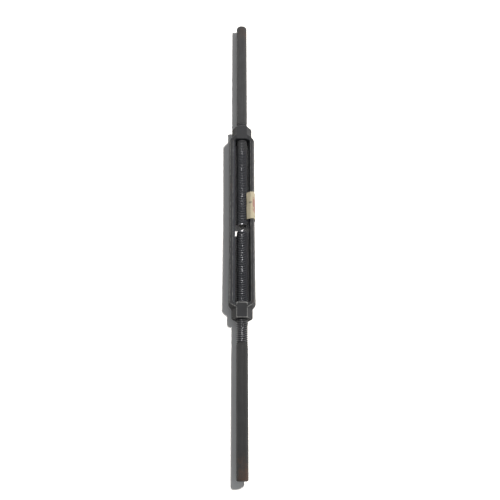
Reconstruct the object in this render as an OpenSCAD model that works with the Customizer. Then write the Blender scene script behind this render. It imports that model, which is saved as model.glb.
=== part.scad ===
// Stub-and-stub rigging turnbuckle: a forged open body and two threaded stubs.
// The thread axis is Y, the front of the opening faces +Z, and the origin is
// the middle of the opening on the thread axis. Millimetres.

/* [Thread] */
// Major diameter of both threads, 3/8 inch
thread_d = 9.525; // [7.9:0.005:11.5]
// Pitch of both threads, 16 to the inch
thread_pitch = 1.5875; // [1:0.0125:2]
// Depth from crest to root
thread_depth = 0.97; // [0.6:0.01:1.2]
// Thread left outside each hub when the tips meet in the middle
thread_spare = 12; // [6:0.1:30]

/* [Stubs] */
// Plain length of each stub, beyond its thread
shank_length = 104.4; // [60:0.1:160]
// Diameter of the plain length
shank_d = 9.525; // [7.9:0.005:11.5]
// Rounding of each stub's plain end
end_radius = 1.2; // [0.3:0.1:2]
// Bevel on the threaded tip of each stub
tip_bevel = 1; // [0.3:0.1:1.5]
// Gap between the middle of the opening and the right-hand stub's tip, on the far side
right_reach = 5.5; // [2:0.1:7.5]
// Gap between the middle of the opening and the left-hand stub's tip, on its own side
left_reach = 10.9; // [9.5:0.1:20]

/* [Body] */
// Length of the opening between the hubs
opening_length = 152.4; // [100:0.1:200]
// Length of each six-sided hub
hub_length = 13.4; // [9:0.1:20]
// Wall between the thread and the hub's flats
hub_wall = 2.94; // [2.2:0.01:4]
// Bevel on the corners of each hub's outer end
hub_bevel = 0.9; // [0.3:0.1:1.5]
// Length over which the body narrows from rails to hub
shoulder_length = 4.6; // [3:0.1:8]

/* [Rails] */
// Width of each rail at the parting line
rail_width = 5.7; // [4.5:0.1:8]
// Depth of each rail from front to back
rail_depth = 12; // [9:0.1:13]
// How far the outer side leans in from the parting line to each face
outer_draft = 1.2; // [0.5:0.1:1.5]
// How far the inner side leans out from the parting line to each face
inner_draft = 1.8; // [0.8:0.1:2]
// How much each rail is waisted in the middle of its length
waist = 0.35; // [0.1:0.05:0.8]
// Radius of the opening's corners at the front and back
corner_radius = 2.6; // [1:0.1:4]

/* [Label] */
// Length of the paper label along the rail
label_length = 25.6; // [15:0.1:40]
// Middle of the label, from the middle of the opening
label_middle = 11.6; // [-25:0.1:25]
// Thickness of the paper
label_thickness = 0.2; // [0.1:0.05:0.4]
// How far the label is wrapped past the parting line, down the outer side
label_wrap = 2.5; // [0.5:0.1:4]

/* [Fit] */
// Radial clearance between a thread and its hub
thread_clearance = 0.05; // [0.02:0.01:0.1]
// Gap between a thread and each rail
rail_clearance = 0.94; // [0.5:0.01:2]
// Gap between the thread and the label's loose edge
label_clearance = 1.27; // [0.6:0.01:2]

/* [Hidden] */
$fn = 96;

crest_r = thread_d / 2;
root_r = crest_r - thread_depth;
shank_r = shank_d / 2;
bore_r = crest_r + thread_clearance;
bore_mouth = 0.4;
half_opening = opening_length / 2;
hub_end = half_opening + hub_length;
half_flats = crest_r + hub_wall;
hub_corner = half_flats / cos(30);
half_depth = rail_depth / 2;
parting_inner = crest_r + rail_clearance;
half_width = parting_inner + rail_width;
rail_inner = parting_inner + inner_draft;
rail_outer = half_width - outer_draft;
waist_radius = (half_opening * half_opening + waist * waist) / (2 * waist);
thread_length = hub_end + thread_spare;
stub_length = thread_length + shank_length;
crest_flat = thread_pitch / 8;
root_flat = thread_pitch / 4;
flank = (thread_pitch - crest_flat - root_flat) / 2;
threads = floor((thread_length - tip_bevel) / thread_pitch) - 1;
thread_end = tip_bevel + threads * thread_pitch;
joint_overlap = 0.2;

// One rail's section, as x and z, from its inner front corner round to its inner parting line.
function rail_section() = [
    [rail_inner, half_depth],
    [rail_outer, half_depth],
    [half_width, 0],
    [rail_outer, -half_depth],
    [rail_inner, -half_depth],
    [parting_inner, 0]
];

// Both rails' outer outline as one closed section.
function envelope_section() = [
    [rail_outer, half_depth],
    [half_width, 0],
    [rail_outer, -half_depth],
    [-rail_outer, -half_depth],
    [-half_width, 0],
    [-rail_outer, half_depth]
];

// Six-sided hub section, with flats to the front and the back.
function hub_section() = [
    for (i = [0 : 5]) hub_corner * [cos(60 * i), sin(60 * i)]
];

// A section drawn in x and z, as a prism along Y from y0 to y1.
module along_y(section, y0, y1) {
    translate([0, y1, 0])
        rotate([90, 0, 0])
            linear_extrude(height = y1 - y0)
                polygon(section);
}

// A round solid about the Y axis, from its outline of [radius, y] points.
module about_y(outline) {
    rotate([-90, 0, 0])
        rotate_extrude()
            polygon(outline);
}

// The two large rounds that waist the rails' outer sides.
module waist_cut() {
    for (side = [-1, 1])
        translate([side * (half_width + waist_radius - waist), 0, 0])
            cylinder(r = waist_radius, h = 2 * rail_depth, center = true, $fn = 720);
}

module rails() {
    difference() {
        for (side = [0, 1])
            mirror([side, 0, 0])
                along_y(rail_section(), -half_opening - joint_overlap / 2, half_opening + joint_overlap / 2);
        waist_cut();
    }
}

// One rounded corner of the opening, at +X and +Y.
module corner() {
    difference() {
        translate([rail_inner - corner_radius, half_opening - corner_radius, -half_depth])
            cube([corner_radius + joint_overlap, corner_radius + joint_overlap, rail_depth]);
        translate([rail_inner - corner_radius, half_opening - corner_radius, 0])
            cylinder(r = corner_radius, h = 2 * rail_depth, center = true);
    }
}

// One hub with its shoulder and its two corners, at the +Y end.
module hub() {
    intersection() {
        along_y(hub_section(), half_opening, hub_end);
        about_y([
            [0, half_opening],
            [hub_corner + 1, half_opening],
            [hub_corner + 1, hub_end - hub_bevel - 1],
            [hub_corner - hub_bevel, hub_end],
            [0, hub_end]
        ]);
    }
    hull() {
        along_y(envelope_section(), half_opening, half_opening + joint_overlap);
        along_y(
            hub_section(),
            half_opening + shoulder_length - joint_overlap,
            half_opening + shoulder_length
        );
    }
    for (side = [0, 1])
        mirror([side, 0, 0])
            corner();
}

// The bore of the hub at the +Y end, from inside the opening, with a bevel at its outer mouth.
module hub_bore() {
    about_y([
        [0, half_opening - 2 * corner_radius],
        [bore_r, half_opening - 2 * corner_radius],
        [bore_r, hub_end - bore_mouth],
        [bore_r + bore_mouth + 1, hub_end + 1],
        [0, hub_end + 1]
    ]);
}

// One stub pointing along +Y, with its tip at y = 0.
module stub() {
    teeth = [
        for (i = [0 : threads - 1])
            let (y = tip_bevel + i * thread_pitch)
                each [
                    [root_r, y],
                    [crest_r, y + flank],
                    [crest_r, y + flank + crest_flat],
                    [root_r, y + 2 * flank + crest_flat]
                ]
    ];
    rounded_end = [
        for (a = [0 : 15 : 90])
            [shank_r - end_radius * (1 - cos(a)), stub_length - end_radius * (1 - sin(a))]
    ];
    about_y(concat(
        [[0, 0], [root_r - tip_bevel / 2, 0], [root_r, tip_bevel / 2]],
        teeth,
        [[root_r, thread_end], [shank_r, thread_length]],
        rounded_end,
        [[0, stub_length]]
    ));
}

module turnbuckle_body() {
    color("dimgray")
        difference() {
            union() {
                rails();
                for (end = [0, 1])
                    mirror([0, end, 0])
                        hub();
            }
            for (end = [0, 1])
                mirror([0, end, 0])
                    hub_bore();
        }
}

module right_hand_stub() {
    color("gray")
        translate([0, -right_reach, 0])
            stub();
}

module left_hand_stub() {
    color("gray")
        translate([0, -left_reach, 0])
            mirror([0, 1, 0])
                stub();
}

// Where a line that leaves p at 45 degrees, in and back, comes to a distance r from the axis.
function in_and_back(p, r) =
    let (
        way = [-sin(45), -cos(45)],
        along = p * way
    )
        p - way * (along + sqrt(along * along - p * p + r * r));

// The paper's inner face over the rail, from its loose edge to its wrapped one.
function label_path() =
    let (
        fold = [rail_inner, half_depth],
        side = [half_width - rail_outer, -half_depth] / norm([half_width - rail_outer, half_depth])
    ) [
        in_and_back(fold, crest_r + label_clearance),
        fold,
        [rail_outer, half_depth],
        [half_width, 0],
        [half_width - side[0] * label_wrap, side[1] * label_wrap]
    ];

// Unit normal on the left of the way from p to q.
function left_normal(p, q) = [p[1] - q[1], q[0] - p[0]] / norm(q - p);

// A path moved sideways by t, mitred at its corners.
function moved(path, t) = [
    for (i = [0 : len(path) - 1])
        let (
            before = left_normal(path[max(i, 1) - 1], path[max(i, 1)]),
            after = left_normal(path[min(i, len(path) - 2)], path[min(i, len(path) - 2) + 1])
        )
            path[i] + t * (before + after) / (1 + before * after)
];

module paper_label() {
    path = label_path();
    skin = moved(path, label_thickness);
    color("wheat")
        along_y(
            concat(path, [for (i = [len(skin) - 1 : -1 : 0]) skin[i]]),
            label_middle - label_length / 2,
            label_middle + label_length / 2
        );
}

turnbuckle_body();
right_hand_stub();
left_hand_stub();
paper_label();
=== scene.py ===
import math

import bmesh
import bpy
import numpy as np
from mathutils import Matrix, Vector, noise


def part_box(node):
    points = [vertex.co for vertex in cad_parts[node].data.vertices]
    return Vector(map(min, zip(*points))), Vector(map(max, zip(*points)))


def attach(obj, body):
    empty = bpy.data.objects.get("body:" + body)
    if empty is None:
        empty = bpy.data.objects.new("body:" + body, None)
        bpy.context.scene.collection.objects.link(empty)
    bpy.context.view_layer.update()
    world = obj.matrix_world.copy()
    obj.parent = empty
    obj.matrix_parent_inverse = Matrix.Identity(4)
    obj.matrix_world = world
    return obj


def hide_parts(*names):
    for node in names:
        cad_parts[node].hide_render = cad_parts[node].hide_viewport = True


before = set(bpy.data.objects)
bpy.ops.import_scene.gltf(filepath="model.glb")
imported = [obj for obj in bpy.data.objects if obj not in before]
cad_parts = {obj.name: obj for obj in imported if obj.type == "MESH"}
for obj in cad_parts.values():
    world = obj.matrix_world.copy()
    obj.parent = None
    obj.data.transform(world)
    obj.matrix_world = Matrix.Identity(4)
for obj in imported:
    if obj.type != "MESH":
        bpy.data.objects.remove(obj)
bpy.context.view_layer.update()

# Sizes in metres. The thread axis is Y, +Z is the front of the opening,
# and the frame's boxes give the outside sizes and the places of the tips.
MM = 0.001
BODY_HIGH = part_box("turnbuckle_body")[1]
ROD_LOW, ROD_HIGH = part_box("right_hand_stub")
RIGHT_TIP = ROD_LOW.y
LEFT_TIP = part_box("left_hand_stub")[1].y
PAPER_LOW, PAPER_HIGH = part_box("paper_label")

HALF_WIDTH = BODY_HIGH.x
HUB_END = BODY_HIGH.y
HALF_FLATS = BODY_HIGH.z
HALF_OPENING = 76.2 * MM
HUB_LENGTH = HUB_END - HALF_OPENING
HUB_CORNER = HALF_FLATS / math.cos(math.radians(30))
HUB_BEVEL = 0.9 * MM
SHOULDER = 4.6 * MM
SWELL_AT, SWELL_WIDTH, SWELL_DEPTH = 0.45, 1.07, 1.02
HALF_DEPTH = 6 * MM
OUTER_DRAFT = 1.2 * MM
INNER_DRAFT = 1.8 * MM
RAIL_WIDTH = 5.7 * MM
RAIL_OUTER = HALF_WIDTH - OUTER_DRAFT
RAIL_INNER = HALF_WIDTH - RAIL_WIDTH + INNER_DRAFT
WAIST = 0.35 * MM
CORNER_RADIUS = 2.6 * MM
BORE_R = 4.8125 * MM
BORE_MOUTH = 0.4 * MM
# How far the body's blocks run into each other before they are fused
OVERLAP = 0.3 * MM

ROD_R = ROD_HIGH.x
PITCH = 1.5875 * MM
THREAD_DEPTH = 0.97 * MM
ROOT_R = ROD_R - THREAD_DEPTH
TIP_BEVEL = 1 * MM
TIP_RIM = 0.3 * MM
THREAD_END = 99.4 * MM
THREAD_LENGTH = 101.6 * MM
ROD_LENGTH = ROD_HIGH.y - ROD_LOW.y
ROD_END_RADIUS = 1.2 * MM
THREAD_SOFTNESS = 0.03 * MM
THREAD_STEPS = 48
SHANK_RINGS = 20
NICK_SIZE, NICK_DEPTH = 1.1 * MM, 0.07 * MM

PAPER_THICKNESS = 0.16 * MM
PAPER_WRAP = 2.5 * MM
PAPER_FLAP = 4.2 * MM
PAPER_STANDOFF = 0.12 * MM
PAPER_FRAYING = 0.35 * MM
FOLD_SOFTNESS = 0.5 * MM
CREASE_HEIGHT = 0.16 * MM
FLAP_CURL = 0.35 * MM

# The forging's skin: the size of its mesh, how far it is softened, its lumps, its grit and its flash
FORGING_VOXEL = 0.4 * MM
SOFTENING_ROUNDS = 5
LUMP_SIZE, LUMP_HEIGHT = 6 * MM, 0.03 * MM
GRIT_SIZE, GRIT_HEIGHT = 1.3 * MM, 0.015 * MM
FLASH_WIDTH, FLASH_HEIGHT, FLASH_BREAKS = 0.35 * MM, 0.12 * MM, 3 * MM
SHARP_EDGE = 0.12

# Places this close count as the same when vertices are picked, and vertices closer than WELD are merged.
TINY = 0.01 * MM
WELD = 0.1 * TINY


# Modelling helpers

def clear_selection():
    bpy.ops.object.select_all(action="DESELECT")


def begin(name):
    """Name the primitive just added, apply its placing to its mesh, and open it for editing."""
    piece = bpy.context.object
    piece.name = name
    bpy.ops.object.transform_apply(location=True, rotation=True, scale=True)
    bpy.ops.object.mode_set(mode="EDIT")
    bpy.ops.mesh.select_mode(type="VERT")
    return piece


def select(piece, test):
    """Select, in edit mode, the vertices whose place passes the test, and the faces between them."""
    bpy.ops.mesh.select_all(action="DESELECT")
    shape = bmesh.from_edit_mesh(piece.data)
    for vertex in shape.verts:
        vertex.select = bool(test(vertex.co))
    shape.select_flush(True)
    bmesh.update_edit_mesh(piece.data)


def cut(place, facing, **clearing):
    """Cut all of the open mesh with a plane, and clear one side of it where asked."""
    bpy.ops.mesh.select_all(action="SELECT")
    bpy.ops.mesh.bisect(plane_co=place, plane_no=facing, threshold=WELD, **clearing)


def heal():
    """Merge doubled vertices and turn every face outwards, in edit mode."""
    bpy.ops.mesh.select_all(action="SELECT")
    bpy.ops.mesh.remove_doubles(threshold=WELD)
    bpy.ops.mesh.normals_make_consistent(inside=False)


def end_edit():
    bpy.ops.object.mode_set(mode="OBJECT")


def draw_line(name, points):
    """A line drawn by extruding one vertex on from point to point, and left open for editing."""
    clear_selection()
    bpy.ops.mesh.primitive_plane_add(size=MM)
    line = begin(name)
    bpy.ops.mesh.select_all(action="SELECT")
    bpy.ops.mesh.merge(type="CENTER")
    bpy.ops.transform.translate(value=points[0])
    for before, after in zip(points, points[1:]):
        step = Vector(after) - Vector(before)
        bpy.ops.mesh.extrude_vertices_move(TRANSFORM_OT_translate={"value": step})
    bpy.ops.mesh.select_all(action="SELECT")
    return line


def lathe(name, outline, steps=72):
    """A solid spun about the thread axis from an outline of radius and y."""
    turned = draw_line(name, [(r, y, 0) for r, y in outline])
    bpy.ops.mesh.spin(steps=steps, angle=math.tau, center=(0, 0, 0), axis=(0, 1, 0))
    heal()
    end_edit()
    return turned


def modify(piece, kind, **settings):
    """Add one modifier with its settings and apply it."""
    clear_selection()
    piece.select_set(True)
    bpy.context.view_layer.objects.active = piece
    modifier = piece.modifiers.new(kind, kind)
    for name, value in settings.items():
        setattr(modifier, name, value)
    bpy.ops.object.modifier_apply(modifier=modifier.name)


def join(name, pieces):
    """Make several pieces one mesh."""
    clear_selection()
    for piece in pieces:
        piece.select_set(True)
    bpy.context.view_layer.objects.active = pieces[0]
    bpy.ops.object.join()
    joined = bpy.context.object
    joined.name = name
    return joined


def smooth_shading(piece, angle):
    clear_selection()
    piece.select_set(True)
    bpy.context.view_layer.objects.active = piece
    bpy.ops.object.shade_smooth_by_angle(angle=math.radians(angle))


def places(piece):
    """Each vertex's place, as rows of x, y and z."""
    return np.array([v.co for v in piece.data.vertices], float).reshape(-1, 3)


def set_places(piece, where):
    piece.data.vertices.foreach_set("co", where.astype(np.float32).ravel())
    piece.data.update()


def directions(piece):
    """Each vertex's outward direction, as rows of x, y and z."""
    return np.array([v.normal for v in piece.data.vertices], float).reshape(-1, 3)


def add_measure(piece, name, values):
    """A value at each vertex, which a material reads by name."""
    measure = piece.data.attributes.new(name, "FLOAT", "POINT")
    measure.data.foreach_set("value", values.astype(np.float32))


def noise_at(where, size, offset):
    """Smooth noise of about -1 to 1 at each place, with lumps of about the given size."""
    return np.array([noise.noise(Vector(p) / size + Vector(offset)) for p in where])


def spread(values, links, rounds):
    """Each vertex's value, averaged with its neighbours' for some rounds."""
    count = np.bincount(links.ravel(), minlength=len(values))
    for _ in range(rounds):
        total = np.bincount(links[:, 0], values[links[:, 1]], len(values))
        total += np.bincount(links[:, 1], values[links[:, 0]], len(values))
        values = (values + total) / (1 + count)
    return values


def ridge_and_hollow(piece, sharp):
    """Measure, at each vertex, how far it stands out of or sinks below its neighbours."""
    where, normal = places(piece), directions(piece)
    links = np.array([e.vertices[:] for e in piece.data.edges])
    step = where[links[:, 0]] - where[links[:, 1]]
    length = np.maximum(np.linalg.norm(step, axis=1), 1e-9)
    first = np.einsum("ij,ij->i", step, normal[links[:, 0]]) / length
    second = np.einsum("ij,ij->i", -step, normal[links[:, 1]]) / length
    count = np.maximum(np.bincount(links.ravel(), minlength=len(where)), 1)
    rise = np.bincount(links[:, 0], first, len(where)) + np.bincount(links[:, 1], second, len(where))
    rise = spread(rise / count, links, 1)
    add_measure(piece, "ridge", np.clip(rise / sharp, 0, 1))
    add_measure(piece, "hollow", spread(np.clip(-rise / sharp, 0, 1), links, 6))


# Forged body

def rail(side):
    """One rail: a bar bellied to its parting line on both sides and waisted at mid length."""
    clear_selection()
    middle = (RAIL_INNER + RAIL_OUTER) / 2
    bpy.ops.mesh.primitive_cube_add(
        size=1,
        location=(side * middle, 0, 0),
        scale=(RAIL_OUTER - RAIL_INNER, 2 * (HALF_OPENING + OVERLAP), 2 * HALF_DEPTH),
    )
    bar = begin("rail")
    cut((0, 0, 0), (0, 0, 1))
    select(bar, lambda p: abs(p.z) < TINY and side * p.x > middle)
    bpy.ops.transform.translate(value=(side * OUTER_DRAFT, 0, 0))
    select(bar, lambda p: abs(p.z) < TINY and side * p.x < middle)
    bpy.ops.transform.translate(value=(-side * INNER_DRAFT, 0, 0))
    shares = np.linspace(-0.9, 0.9, 13)
    for share in shares:
        cut((0, share * HALF_OPENING, 0), (0, 1, 0))
    for share in shares:
        y = share * HALF_OPENING
        select(bar, lambda p: abs(p.y - y) < TINY and side * p.x > middle)
        bpy.ops.transform.translate(value=(-side * WAIST * (1 - share * share), 0, 0))
    heal()
    end_edit()
    return bar


def six_sided(name, start, length, end):
    """A six-sided prism about the thread axis, with flats to the front and back."""
    clear_selection()
    bpy.ops.mesh.primitive_cylinder_add(
        vertices=6,
        radius=HUB_CORNER,
        depth=length,
        location=(0, end * (start + length / 2), 0),
        rotation=(math.radians(90), math.radians(30), 0),
    )
    return begin(name)


def hub(end):
    """One six-sided hub with its outer end bevelled."""
    block = six_sided("hub", HALF_OPENING, HUB_LENGTH, end)
    select(block, lambda p: end * p.y > HUB_END - TINY)
    bpy.ops.mesh.bevel(offset=HUB_BEVEL, segments=3, affect="EDGES")
    end_edit()
    return block


def shoulder(end):
    """The swell from a hub out to the two rails, rounded on its way."""
    block = six_sided("shoulder", HALF_OPENING, SHOULDER, end)
    inner = HALF_OPENING + TINY
    select(block, lambda p: end * p.y < inner and abs(p.z) < TINY)
    bpy.ops.transform.resize(value=(HALF_WIDTH / HUB_CORNER, 1, 1), center_override=(0, 0, 0))
    select(block, lambda p: end * p.y < inner and abs(p.z) > TINY)
    bpy.ops.transform.resize(
        value=(2 * RAIL_OUTER / HUB_CORNER, 1, HALF_DEPTH / HALF_FLATS),
        center_override=(0, 0, 0),
    )
    swell_y = end * (HALF_OPENING + SWELL_AT * SHOULDER)
    cut((0, swell_y, 0), (0, 1, 0))
    select(block, lambda p: abs(p.y - swell_y) < TINY)
    bpy.ops.transform.resize(value=(SWELL_WIDTH, 1, SWELL_DEPTH), center_override=(0, 0, 0))
    end_edit()
    return block


def opening_corner(side, end):
    """One rounded corner of the opening."""
    far_x, far_y = RAIL_INNER + OVERLAP, HALF_OPENING + OVERLAP
    centre_x, centre_y = RAIL_INNER - CORNER_RADIUS, HALF_OPENING - CORNER_RADIUS
    outline = [(far_x, far_y), (far_x, centre_y)]
    for angle in np.radians(np.linspace(0, 90, 9)):
        x = centre_x + CORNER_RADIUS * math.cos(angle)
        y = centre_y + CORNER_RADIUS * math.sin(angle)
        outline.append((x, y))
    outline.append((centre_x, far_y))
    block = draw_line("opening_corner", [(side * x, end * y, -HALF_DEPTH) for x, y in outline])
    bpy.ops.mesh.edge_face_add()
    bpy.ops.mesh.extrude_region_move(TRANSFORM_OT_translate={"value": (0, 0, 2 * HALF_DEPTH)})
    heal()
    end_edit()
    return block


def cut_bore(piece, end):
    """Cut one hub's bore, with a bevel at its outer mouth."""
    inside = HALF_OPENING - 2 * CORNER_RADIUS
    beyond = HUB_END + MM
    outline = [
        (0, end * inside),
        (BORE_R, end * inside),
        (BORE_R, end * (HUB_END - BORE_MOUTH)),
        (BORE_R + BORE_MOUTH + MM, end * beyond),
        (0, end * beyond),
    ]
    cutter = lathe("bore_cutter", outline)
    modify(piece, "BOOLEAN", operation="DIFFERENCE", solver="EXACT", object=cutter)
    bpy.data.objects.remove(cutter)


def roughen(body):
    """Lift the skin into slight lumps and grit, and into a broken line of flash round the outside."""
    where, normal = places(body), directions(body)
    lumps = noise_at(where, LUMP_SIZE, (3, 1, 7)) * LUMP_HEIGHT
    grit = noise_at(where, GRIT_SIZE, (8, 2, 5)) * GRIT_HEIGHT
    flash = np.exp(-((where[:, 2] / FLASH_WIDTH) ** 2)) * (np.abs(where[:, 0]) > RAIL_OUTER)
    ragged = 0.5 + 0.5 * noise_at(where, FLASH_BREAKS, (1, 9, 4))
    rise = lumps + grit + flash * ragged * FLASH_HEIGHT
    set_places(body, where + normal * rise[:, None])


def measure_inside(body):
    """Measure, at each vertex, whether it is on the opening's walls, where shade is painted."""
    where = places(body)
    past, soft = 0.1 * MM, 0.3 * MM
    within = (RAIL_INNER + past - np.abs(where[:, 0])) / soft
    between = (HALF_OPENING + past - np.abs(where[:, 1])) / soft
    add_measure(body, "inside", np.clip(np.minimum(within, between), 0, 1))


def forged_body():
    """The open body: two hubs and two rails, rounded and roughened as a forging, then bored."""
    blocks = [rail(side) for side in (-1, 1)]
    blocks += [make(end) for make in (hub, shoulder) for end in (-1, 1)]
    blocks += [opening_corner(side, end) for side in (-1, 1) for end in (-1, 1)]
    body = join("forged_body", blocks)
    modify(body, "REMESH", mode="VOXEL", voxel_size=FORGING_VOXEL, adaptivity=0)
    modify(body, "SMOOTH", factor=0.5, iterations=SOFTENING_ROUNDS)
    roughen(body)
    for end in (-1, 1):
        cut_bore(body, end)
    smooth_shading(body, 40)
    ridge_and_hollow(body, SHARP_EDGE)
    measure_inside(body)
    return body


# Threaded stubs

def tooth(start):
    """One pitch of the thread's outline as radius and y, with its corners softened."""
    crest, root = PITCH / 8, PITCH / 4
    flank = (PITCH - crest - root) / 2
    return [
        (ROOT_R, start),
        (ROOT_R + THREAD_SOFTNESS, start + 0.1 * flank),
        (ROD_R - 2 * THREAD_SOFTNESS, start + 0.9 * flank),
        (ROD_R, start + flank + 0.15 * crest),
        (ROD_R, start + flank + 0.85 * crest),
        (ROD_R - 2 * THREAD_SOFTNESS, start + 1.1 * flank + crest),
        (ROOT_R + THREAD_SOFTNESS, start + 1.9 * flank + crest),
        (ROOT_R, start + 2 * flank + crest),
        (ROOT_R, start + PITCH),
    ]


def threaded_rod(name, tip, end):
    """One stub pointing along +Y or -Y from its tip: a helical thread, its run-out and a plain shank."""
    start = -2 * PITCH
    rod = draw_line(name, [(r, y, 0) for r, y in tooth(start)])
    end_edit()
    turns = math.ceil((THREAD_LENGTH - start) / PITCH) + 1
    modify(
        rod, "SCREW", axis="Y", angle=math.tau, screw_offset=PITCH, iterations=turns,
        steps=THREAD_STEPS, render_steps=THREAD_STEPS, use_merge_vertices=True, merge_threshold=WELD,
    )
    shape_thread_ends(rod)
    bpy.ops.object.mode_set(mode="EDIT")
    bpy.ops.mesh.select_all(action="SELECT")
    bpy.ops.mesh.remove_doubles(threshold=WELD)
    cut((0, 0, 0), (0, 1, 0), clear_inner=True, use_fill=True)
    bpy.ops.mesh.inset(thickness=TIP_RIM)
    cut((0, THREAD_LENGTH, 0), (0, 1, 0), clear_outer=True)
    draw_out_shank()
    heal()
    bpy.ops.mesh.select_all(action="SELECT")
    if end < 0:
        bpy.ops.transform.mirror(constraint_axis=(False, True, False), center_override=(0, 0, 0))
    bpy.ops.transform.translate(value=(0, tip, 0))
    bpy.ops.mesh.normals_make_consistent(inside=False)
    end_edit()
    smooth_shading(rod, 35)
    measure_rod(rod, tip, end)
    return rod


def shape_thread_ends(rod):
    """Bevel the tip, and let the groove run out to the shank's full radius."""
    where = places(rod)
    radius = np.hypot(where[:, 0], where[:, 2])
    y = where[:, 1]
    widest = ROOT_R - 0.5 * TIP_BEVEL + np.maximum(y, 0)
    run_out_length = THREAD_LENGTH - THREAD_END + PITCH - 0.2 * MM
    run_out = np.clip((y - THREAD_END + PITCH) / run_out_length, 0, 1)
    narrowest = ROOT_R + THREAD_DEPTH * run_out
    on_crest = (radius > ROD_R - 0.1 * MM) & (run_out < 0.5)
    nicks = np.clip(noise_at(where, NICK_SIZE, (2, 6, 9)), 0, 1) * on_crest
    new_radius = np.maximum(np.minimum(radius - NICK_DEPTH * nicks, widest), narrowest)
    where[:, [0, 2]] *= (new_radius / radius)[:, None]
    set_places(rod, where)


def draw_out_shank():
    """Extrude the thread's open end along the shank and round its plain end."""
    y, radius = ROD_LENGTH - ROD_END_RADIUS, ROD_R
    step = (y - THREAD_LENGTH) / SHANK_RINGS
    for _ in range(SHANK_RINGS):
        bpy.ops.mesh.extrude_edges_move(TRANSFORM_OT_translate={"value": (0, step, 0)})
    for angle in np.radians([18, 36, 54, 72, 90]):
        next_y = ROD_LENGTH - ROD_END_RADIUS * (1 - math.sin(angle))
        next_radius = ROD_R - ROD_END_RADIUS * (1 - math.cos(angle))
        bpy.ops.mesh.extrude_edges_move(TRANSFORM_OT_translate={"value": (0, next_y - y, 0)})
        scale = next_radius / radius
        bpy.ops.transform.resize(value=(scale, 1, scale), center_override=(0, next_y, 0))
        y, radius = next_y, next_radius
    bpy.ops.mesh.extrude_edges_move(TRANSFORM_OT_translate={"value": (0, 0, 0)})
    bpy.ops.transform.resize(value=(0.5, 1, 0.5), center_override=(0, y, 0))
    bpy.ops.mesh.edge_face_add()


def measure_rod(rod, tip, end):
    """Measure, at each vertex, the crest and the tip's bevel, the groove, and the way along the rod."""
    where = places(rod)
    radius = np.hypot(where[:, 0], where[:, 2])
    along = end * (where[:, 1] - tip)
    threaded = np.clip((THREAD_END - along) / PITCH, 0, 1)
    height = np.clip((radius - ROOT_R) / THREAD_DEPTH, 0, 1)
    crest = threaded * np.clip((height - 0.8) / 0.2, 0, 1)
    bevel = (radius > ROOT_R - 0.15 * TIP_BEVEL) & (along < 1.1 * TIP_BEVEL)
    add_measure(rod, "ridge", np.maximum(crest, 1.3 * bevel))
    add_measure(rod, "hollow", threaded * (1 - height))
    add_measure(rod, "along", along / ROD_LENGTH)


# Paper label

def paper_line():
    """The label's route over the rail as x and z, from its loose edge to its wrapped one."""
    fold = Vector((RAIL_INNER, HALF_DEPTH))
    outer = Vector((RAIL_OUTER, HALF_DEPTH))
    parting = Vector((HALF_WIDTH, 0))
    down = (parting - outer).normalized()
    return [
        fold - Vector((1, 0.7)).normalized() * PAPER_FLAP,
        fold,
        outer,
        parting,
        parting + Vector((-down.x, down.y)) * PAPER_WRAP,
    ]


def on_line(line, distance):
    """The place and the outward direction at some distance along a line of x and z."""
    for before, after in zip(line, line[1:]):
        length = (after - before).length
        if distance <= length or after is line[-1]:
            way = (after - before) / length
            return before + way * min(distance, length), Vector((-way.y, way.x))
        distance -= length


def paper_sheet():
    """The worn paper label: a crinkled sheet folded over the rail, with frayed ends and a loose flap."""
    clear_selection()
    bpy.ops.mesh.primitive_grid_add(x_subdivisions=56, y_subdivisions=120, size=1)
    sheet = begin("worn_label")
    end_edit()
    line = paper_line()
    total = sum((after - before).length for before, after in zip(line, line[1:]))
    length = PAPER_HIGH.y - PAPER_LOW.y
    blur = [share * FOLD_SOFTNESS for share in (-1, -0.5, 0, 0.5, 1)]
    new_places = []
    for vertex in sheet.data.vertices:
        across, along = vertex.co.x + 0.5, vertex.co.y + 0.5
        worn_away = 1 + noise.noise(Vector((across * 9, round(along) * 5, 2)))
        frayed = 1 - PAPER_FRAYING / length * worn_away
        y = PAPER_LOW.y + length * (0.5 + (along - 0.5) * frayed)
        samples = [on_line(line, min(max(across * total + b, 0), total)) for b in blur]
        spot = sum((s[0] for s in samples), Vector((0, 0))) / len(blur)
        out = sum((s[1] for s in samples), Vector((0, 0))).normalized()
        crease = abs(noise.noise(Vector((across * 5, along * 14, 4)))) * CREASE_HEIGHT
        flap = max(0, 1 - across * total / PAPER_FLAP)
        curl = flap * FLAP_CURL * noise.noise(Vector((1, along * 4, 8)))
        lift = PAPER_STANDOFF + crease + curl
        spot = spot + out * lift
        new_places.append((spot.x, y, spot.y))
    set_places(sheet, np.array(new_places))
    modify(sheet, "SOLIDIFY", thickness=PAPER_THICKNESS, offset=0)
    smooth_shading(sheet, 50)
    return sheet


# Finishes

def colour(red, green, blue):
    """An opaque colour from linear red, green and blue."""
    return (red, green, blue, 1)


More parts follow.
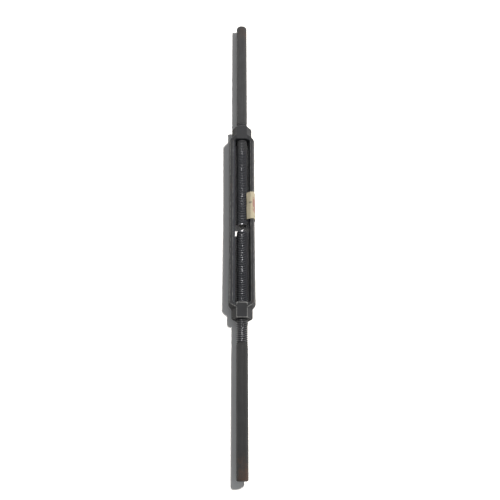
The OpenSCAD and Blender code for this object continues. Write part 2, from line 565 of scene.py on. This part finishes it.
FORGING_DARK = colour(0.0185, 0.019, 0.021)
FORGING_LIGHT = colour(0.0285, 0.029, 0.0305)
FORGING_RUBBED = colour(0.17, 0.17, 0.165)
# Painted shade, blue-tinted, for the opening's walls
OPENING_WALL_SHADE = colour(0.009, 0.011, 0.016)
# The lower hub is painted darker
LOWER_HUB_DARKENING = colour(0.009, 0.0095, 0.011)
# Painted shade for the body's hollows
HOLLOW_SHADE = colour(0.012, 0.013, 0.017)
RUST_DEEP = colour(0.07, 0.03, 0.015)
RUST_PALE = colour(0.13, 0.065, 0.035)
ROD_DARK = colour(0.0315, 0.0315, 0.032)
ROD_LIGHT = colour(0.0415, 0.0415, 0.042)
ROD_STREAK = colour(0.022, 0.022, 0.023)
# The rods are painted darker towards the lower end
ROD_LOWER_DARKENING = colour(0.014, 0.0135, 0.0132)
# Painted shade, blue-tinted, for the threads inside the opening
THREAD_SHADE = colour(0.011, 0.0135, 0.020)
# Painted shade for the thread grooves
GROOVE_SHADE = colour(0.008, 0.0085, 0.012)
CREST_RUBBED = colour(0.19, 0.19, 0.2)
PAPER_DARK = colour(0.235, 0.205, 0.14)
PAPER_LIGHT = colour(0.32, 0.285, 0.20)
PAPER_STAIN = colour(0.16, 0.125, 0.075)
BAND_RED = colour(0.17, 0.06, 0.055)
SMUDGE_BLACK = colour(0.03, 0.03, 0.03)
FLOOR_DARK = colour(0.91, 0.89, 0.86)
FLOOR_LIGHT = colour(0.93, 0.91, 0.88)


def give(tree, socket, value):
    """Link a socket to another node's, or set it to a value."""
    if isinstance(value, bpy.types.NodeSocket):
        tree.links.new(value, socket)
    else:
        socket.default_value = value


def add(tree, kind, inputs=None, **settings):
    """Add a shader node with its settings, and give each named input a value or a link."""
    node = tree.nodes.new(kind)
    for name, value in settings.items():
        setattr(node, name, value)
    for name, value in (inputs or {}).items():
        give(tree, node.inputs[name], value)
    return node


def new_group(name, inputs, outputs):
    """An empty node group with named sockets, what it is given, and its output node."""
    group = bpy.data.node_groups.new(name, "ShaderNodeTree")
    for socket, kind in inputs:
        group.interface.new_socket(socket, in_out="INPUT", socket_type=kind)
    for socket, kind in outputs:
        group.interface.new_socket(socket, in_out="OUTPUT", socket_type=kind)
    return group, group.nodes.new("NodeGroupInput").outputs, group.nodes.new("NodeGroupOutput")


def use_group(tree, group, **inputs):
    return add(tree, "ShaderNodeGroup", inputs, node_tree=group).outputs


def cloudy(tree, where, size, detail=6, roughness=0.6):
    """Noise of 0 to 1 with lumps of about the given size in metres."""
    inputs = {"Vector": where, "Scale": 1 / size, "Detail": detail, "Roughness": roughness}
    return add(tree, "ShaderNodeTexNoise", inputs).outputs["Fac"]


def ramp(tree, value, low, high, to_low=0.0, to_high=1.0):
    """A value taken from low..high to to_low..to_high, smoothly, and held at both ends."""
    inputs = {"Value": value, "From Min": low, "From Max": high, "To Min": to_low, "To Max": to_high}
    return add(tree, "ShaderNodeMapRange", inputs, interpolation_type="SMOOTHSTEP").outputs["Result"]


def maths(tree, operation, first, second=0.0):
    node = add(tree, "ShaderNodeMath", operation=operation)
    give(tree, node.inputs[0], first)
    give(tree, node.inputs[1], second)
    return node.outputs[0]


def plus(tree, first, second):
    return maths(tree, "ADD", first, second)


def minus(tree, first, second):
    return maths(tree, "SUBTRACT", first, second)


def times(tree, first, second):
    return maths(tree, "MULTIPLY", first, second)


def away_from(tree, value, middle):
    """How far a value is from a middle one, either way."""
    return maths(tree, "ABSOLUTE", minus(tree, value, middle))


def blend_colours(tree, share, first, second):
    """The first colour with a share of the second laid over it."""
    node = add(tree, "ShaderNodeMix", {"Factor": share}, data_type="RGBA")
    give(tree, node.inputs[6], first)
    give(tree, node.inputs[7], second)
    return node.outputs[2]


def measure(tree, name):
    """A value that add_measure stored on the piece."""
    return add(tree, "ShaderNodeAttribute", attribute_name=name).outputs["Fac"]


def axes_of(tree, where):
    return add(tree, "ShaderNodeSeparateXYZ", {"Vector": where}).outputs


def drawn_out(tree, where, scale):
    """Coordinates that stretch a pattern on each axis whose scale is under 1."""
    inputs = {"Vector": where, "Scale": scale}
    return add(tree, "ShaderNodeMapping", inputs, vector_type="POINT").outputs["Vector"]


def bumpy(tree, height, strength, distance):
    """A normal that follows a height."""
    inputs = {"Height": height, "Strength": strength, "Distance": distance}
    return add(tree, "ShaderNodeBump", inputs).outputs["Normal"]


def scale_skin_group():
    """Mill scale: cloudy patches of two tones with fine specks, and the height of its grain."""
    group, given, out = new_group(
        "scale_skin",
        [("Vector", "NodeSocketVector"), ("Dark", "NodeSocketColor"), ("Light", "NodeSocketColor")],
        [("Colour", "NodeSocketColor"), ("Height", "NodeSocketFloat"), ("Patch", "NodeSocketFloat")],
    )
    patches = ramp(group, cloudy(group, given["Vector"], 7 * MM), 0.35, 0.68)
    specks = ramp(group, cloudy(group, given["Vector"], 0.5 * MM, 3), 0.3, 0.7)
    tone = plus(group, times(group, patches, 0.6), times(group, specks, 0.4))
    cells = add(group, "ShaderNodeTexVoronoi", {"Vector": given["Vector"], "Scale": 1 / (1.6 * MM)})
    pits = ramp(group, cells.outputs["Distance"], 0.05, 0.3)
    grain = plus(group, times(group, specks, 0.5), times(group, pits, 0.5))
    group.links.new(blend_colours(group, tone, given["Dark"], given["Light"]), out.inputs["Colour"])
    group.links.new(grain, out.inputs["Height"])
    group.links.new(patches, out.inputs["Patch"])
    return group


def edge_wear_group():
    """Where handling has rubbed edges bright: a mask from how far they stand out, broken up by noise."""
    group, given, out = new_group(
        "edge_wear",
        [("Vector", "NodeSocketVector"), ("Ridge", "NodeSocketFloat"), ("Amount", "NodeSocketFloat")],
        [("Mask", "NodeSocketFloat")],
    )
    broken = cloudy(group, given["Vector"], 2.2 * MM, 8, 0.7)
    reach = times(group, given["Ridge"], given["Amount"])
    patchy = times(group, minus(group, broken, 0.5), 1.4)
    group.links.new(ramp(group, plus(group, reach, patchy), 0.55, 0.95), out.inputs["Mask"])
    return group


def rust_bloom_group():
    """Thin brown rust: a mask and its colour."""
    group, given, out = new_group(
        "rust_bloom",
        [("Vector", "NodeSocketVector"), ("Amount", "NodeSocketFloat")],
        [("Mask", "NodeSocketFloat"), ("Colour", "NodeSocketColor")],
    )
    wide = cloudy(group, given["Vector"], 11 * MM, 4)
    fine = cloudy(group, given["Vector"], 0.7 * MM, 6, 0.7)
    both = plus(group, times(group, wide, 0.6), times(group, fine, 0.4))
    edge = minus(group, 1.0, given["Amount"])
    group.links.new(ramp(group, minus(group, both, edge), -0.08, 0.12), out.inputs["Mask"])
    group.links.new(blend_colours(group, fine, RUST_DEEP, RUST_PALE), out.inputs["Colour"])
    return group


def new_material(name):
    """A material with its tree, its principled shader and its texture coordinates."""
    material = bpy.data.materials.new(name)
    material.use_nodes = True
    tree = material.node_tree
    return material, tree, tree.nodes["Principled BSDF"], tree.nodes.new("ShaderNodeTexCoord").outputs


def feed(tree, shader, **sockets):
    """Link values to the shader's sockets, which are named with _ for a space."""
    for name, value in sockets.items():
        tree.links.new(value, shader.inputs[name.replace("_", " ")])


def matt(shader):
    """The dull, powdery reflection of a black oxide."""
    shader.inputs["Specular IOR Level"].default_value = 0.25
    shader.inputs["Diffuse Roughness"].default_value = 1
    shader.inputs["Sheen Weight"].default_value = 0.06
    shader.inputs["Sheen Roughness"].default_value = 0.5


def handled_forging(tree, axes, lower_hub):
    """How much handling the body's edges have had: most on the lower hub's front, least on the upper hub."""
    front = ramp(tree, axes["Z"], HALF_FLATS - 0.9 * MM, HALF_FLATS - 0.4 * MM)
    elsewhere = ramp(tree, axes["Y"], HALF_OPENING - 3 * MM, HALF_OPENING, 0.95, 0.65)
    return plus(tree, elsewhere, times(tree, lower_hub, front))


def forged_steel(groups):
    """Blackened forging: grainy mill scale, bright rubbed edges, painted shade in the hollows and on the
    opening's walls, darker on the lower hub, a trace of rust.
    """
    material, tree, shader, coordinates = new_material("blackened_forging")
    where = coordinates["Object"]
    axes = axes_of(tree, where)
    lower_hub = ramp(tree, axes["Y"], -HALF_OPENING + MM, -HALF_OPENING - MM, 0.0, 0.6)
    handled = handled_forging(tree, axes, lower_hub)
    skin = use_group(tree, groups["scale_skin"], Vector=where, Dark=FORGING_DARK, Light=FORGING_LIGHT)
    rust = use_group(tree, groups["rust_bloom"], Vector=where, Amount=0.36)
    worn = use_group(tree, groups["edge_wear"], Vector=where, Ridge=measure(tree, "ridge"), Amount=handled)
    wear = worn["Mask"]
    # Painted shade: the body's hollows are darkened
    hollow_shade = ramp(tree, measure(tree, "hollow"), 0.1, 0.6, 0.0, 0.3)
    # Painted shade: the opening's walls are darkened
    wall_shade = ramp(tree, measure(tree, "inside"), 0, 1, 0.0, 0.55)

    base = blend_colours(tree, times(tree, rust["Mask"], 0.35), skin["Colour"], rust["Colour"])
    # The lower hub is painted darker
    base = blend_colours(tree, times(tree, lower_hub, 0.5), base, LOWER_HUB_DARKENING)
    base = blend_colours(tree, hollow_shade, base, HOLLOW_SHADE)
    base = blend_colours(tree, wall_shade, base, OPENING_WALL_SHADE)
    base = blend_colours(tree, wear, base, FORGING_RUBBED)
    rough = minus(tree, ramp(tree, skin["Patch"], 0, 1, 0.7, 0.8), times(tree, wear, 0.25))
    metal = ramp(tree, wear, 0, 1, 0.0, 0.6)
    bump = bumpy(tree, skin["Height"], 0.55, 0.12 * MM)
    feed(tree, shader, Base_Color=base, Roughness=rough, Metallic=metal, Normal=bump)
    matt(shader)
    return material


def rod_steel(groups):
    """Blackened drawn rod: lengthwise lines, rubbed thread crests, painted shade in the grooves and on the
    threads inside the opening, darker towards the lower end, rust at the plain end.
    """
    material, tree, shader, coordinates = new_material("blackened_rod")
    where = coordinates["Object"]
    along = measure(tree, "along")
    streaks = cloudy(tree, drawn_out(tree, where, (1, 0.06, 1)), 0.6 * MM, 5, 0.65)
    skin = use_group(tree, groups["scale_skin"], Vector=where, Dark=ROD_DARK, Light=ROD_LIGHT)
    rusty = ramp(tree, along, 0.80, 0.97, 0.30, 0.47)
    rust = use_group(tree, groups["rust_bloom"], Vector=where, Amount=rusty)
    worn = use_group(
        tree, groups["edge_wear"], Vector=drawn_out(tree, where, (0.5, 0.22, 0.5)),
        Ridge=measure(tree, "ridge"), Amount=ramp(tree, along, 0.40, 0.43, 0.86, 1.2),
    )
    wear = worn["Mask"]
    lines = ramp(tree, streaks, 0.35, 0.7, 0.0, 0.35)
    # The rods are painted darker towards the lower end
    lower_rod = ramp(tree, axes_of(tree, where)["Y"], -60 * MM, 60 * MM, 0.45, 0)
    # Painted shade on the threads inside the opening
    opening_thread_shade = ramp(tree, along, 0.32, 0.36, 0.5, 0.0)
    # Painted shade in the thread grooves
    groove = ramp(tree, measure(tree, "hollow"), 0.2, 1.0, 0.0, 0.7)

    base = blend_colours(tree, lines, skin["Colour"], ROD_STREAK)
    base = blend_colours(tree, lower_rod, base, ROD_LOWER_DARKENING)
    base = blend_colours(tree, times(tree, rust["Mask"], 0.4), base, rust["Colour"])
    base = blend_colours(tree, opening_thread_shade, base, THREAD_SHADE)
    base = blend_colours(tree, groove, base, GROOVE_SHADE)
    base = blend_colours(tree, wear, base, CREST_RUBBED)
    rough = minus(tree, ramp(tree, streaks, 0.3, 0.7, 0.66, 0.78), times(tree, wear, 0.42))
    metal = ramp(tree, wear, 0, 1, 0.0, 0.85)
    height = plus(tree, times(tree, skin["Height"], 0.5), times(tree, streaks, 0.5))
    bump = bumpy(tree, height, 0.4, 0.08 * MM)
    feed(tree, shader, Base_Color=base, Roughness=rough, Metallic=metal, Normal=bump)
    matt(shader)
    return material


def label_paper():
    """Aged cream paper: fibres, stains, a plain red band round the rail's outer side and a dark smudge."""
    material, tree, shader, coordinates = new_material("aged_paper")
    where = coordinates["Object"]
    sheet = axes_of(tree, coordinates["UV"])
    fibres = cloudy(tree, where, 0.25 * MM, 8, 0.75)
    stains = cloudy(tree, where, 3.5 * MM, 5)
    blots = cloudy(tree, where, 1.1 * MM, 2)
    band_ends = ramp(tree, away_from(tree, sheet["Y"], 0.52), 0.30, 0.24)
    band = times(tree, ramp(tree, sheet["X"], 0.36, 0.41), band_ends)
    band = times(tree, band, ramp(tree, stains, 0.33, 0.5))
    smudge_ends = ramp(tree, away_from(tree, sheet["Y"], 0.6), 0.05, 0.02)
    smudge = times(tree, smudge_ends, ramp(tree, away_from(tree, sheet["X"], 0.25), 0.13, 0.07))
    smudge = times(tree, smudge, ramp(tree, blots, 0.42, 0.55))

    base = blend_colours(tree, ramp(tree, fibres, 0.3, 0.7), PAPER_DARK, PAPER_LIGHT)
    base = blend_colours(tree, ramp(tree, stains, 0.5, 0.75, 0.0, 0.5), base, PAPER_STAIN)
    base = blend_colours(tree, times(tree, band, 0.8), base, BAND_RED)
    base = blend_colours(tree, times(tree, smudge, 0.8), base, SMUDGE_BLACK)
    height = plus(tree, times(tree, fibres, 0.4), times(tree, stains, 0.6))
    bump = bumpy(tree, height, 0.5, 0.1 * MM)
    feed(tree, shader, Base_Color=base, Roughness=ramp(tree, stains, 0.3, 0.7, 0.85, 0.7), Normal=bump)
    return material


def floor_paint():
    """A matt, nearly white paint."""
    material, tree, shader, coordinates = new_material("pale_floor")
    tone = ramp(tree, cloudy(tree, coordinates["Object"], 0.25, 3), 0.3, 0.7)
    feed(tree, shader, Base_Color=blend_colours(tree, tone, FLOOR_DARK, FLOOR_LIGHT))
    shader.inputs["Roughness"].default_value = 0.9
    shader.inputs["Specular IOR Level"].default_value = 0.1
    return material


# Stage: each lamp has a place, a width and length, and a power

KEY_LAMP = Vector((0.33, 0.112, 0.65)), (0.085, 0.085), 14.5
OVERHEAD_LAMP = Vector((0.02, 0.2, 0.65)), (0.05, 0.6), 9
LAMP_TINT = (1.0, 0.985, 0.965)
ROOM_TINT, ROOM_STRENGTH = (0.95, 0.99, 1.04, 1), 0.28
CAMERA_PLACE = (0.0055, -0.2689, 0.6080)
CAMERA_TURN = (math.radians(21.63), 0, math.radians(-0.31))
CAMERA_LENS, CAMERA_SENSOR = 55.39, 36
FLOOR_SIZE = 6


def floor():
    """A wide floor that the hubs' lower flats rest on."""
    clear_selection()
    bpy.ops.mesh.primitive_plane_add(size=FLOOR_SIZE, location=(0, 0, -HALF_FLATS))
    plane = begin("floor")
    end_edit()
    plane.data.materials.append(floor_paint())


def lamp_at(name, place, size, energy):
    """An oval lamp, of some width and length, that faces the body."""
    lamp = bpy.data.lights.new(name, "AREA")
    lamp.shape = "ELLIPSE"
    lamp.size, lamp.size_y = size
    lamp.energy = energy
    lamp.color = LAMP_TINT
    lamp.use_nodes = True
    tree = lamp.node_tree
    falloff = add(tree, "ShaderNodeLightFalloff", {"Strength": 1.0})
    tree.links.new(falloff.outputs["Linear"], tree.nodes["Emission"].inputs["Strength"])
    holder = bpy.data.objects.new(name, lamp)
    holder.location = place
    holder.rotation_euler = place.to_track_quat("Z", "Y").to_euler()
    bpy.context.scene.collection.objects.link(holder)
    return holder


def lights():
    """A key lamp to the right for light and shadow, a strip overhead for the glints, and a pale room."""
    key = lamp_at("key_lamp", *KEY_LAMP)
    key.visible_glossy = False
    overhead = lamp_at("overhead_lamp", *OVERHEAD_LAMP)
    overhead.visible_diffuse = False
    world = bpy.data.worlds.new("pale_room")
    world.use_nodes = True
    background = world.node_tree.nodes["Background"]
    background.inputs["Color"].default_value = ROOM_TINT
    background.inputs["Strength"].default_value = ROOM_STRENGTH
    bpy.context.scene.world = world


def camera():
    """A camera high above the left-hand stub's far end, tilted along the body."""
    data = bpy.data.cameras.new("camera")
    data.sensor_width = CAMERA_SENSOR
    data.lens = CAMERA_LENS
    data.clip_start = 0.01
    holder = bpy.data.objects.new("camera", data)
    holder.location = CAMERA_PLACE
    holder.rotation_euler = CAMERA_TURN
    bpy.context.scene.collection.objects.link(holder)
    bpy.context.scene.camera = holder


def place_piece(piece, material, node, body):
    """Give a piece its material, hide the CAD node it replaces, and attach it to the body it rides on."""
    piece.data.materials.clear()
    piece.data.materials.append(material)
    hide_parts(node)
    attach(piece, body)


groups = {
    "scale_skin": scale_skin_group(),
    "edge_wear": edge_wear_group(),
    "rust_bloom": rust_bloom_group(),
}
rod_finish = rod_steel(groups)
place_piece(forged_body(), forged_steel(groups), "turnbuckle_body", "body")
right_rod = threaded_rod("threaded_stub_right", RIGHT_TIP, 1)
place_piece(right_rod, rod_finish, "right_hand_stub", "right_stub")
left_rod = threaded_rod("threaded_stub_left", LEFT_TIP, -1)
place_piece(left_rod, rod_finish, "left_hand_stub", "left_stub")
place_piece(paper_sheet(), label_paper(), "paper_label", "body")
floor()
lights()
camera()
bpy.context.scene.view_settings.view_transform = "Standard"
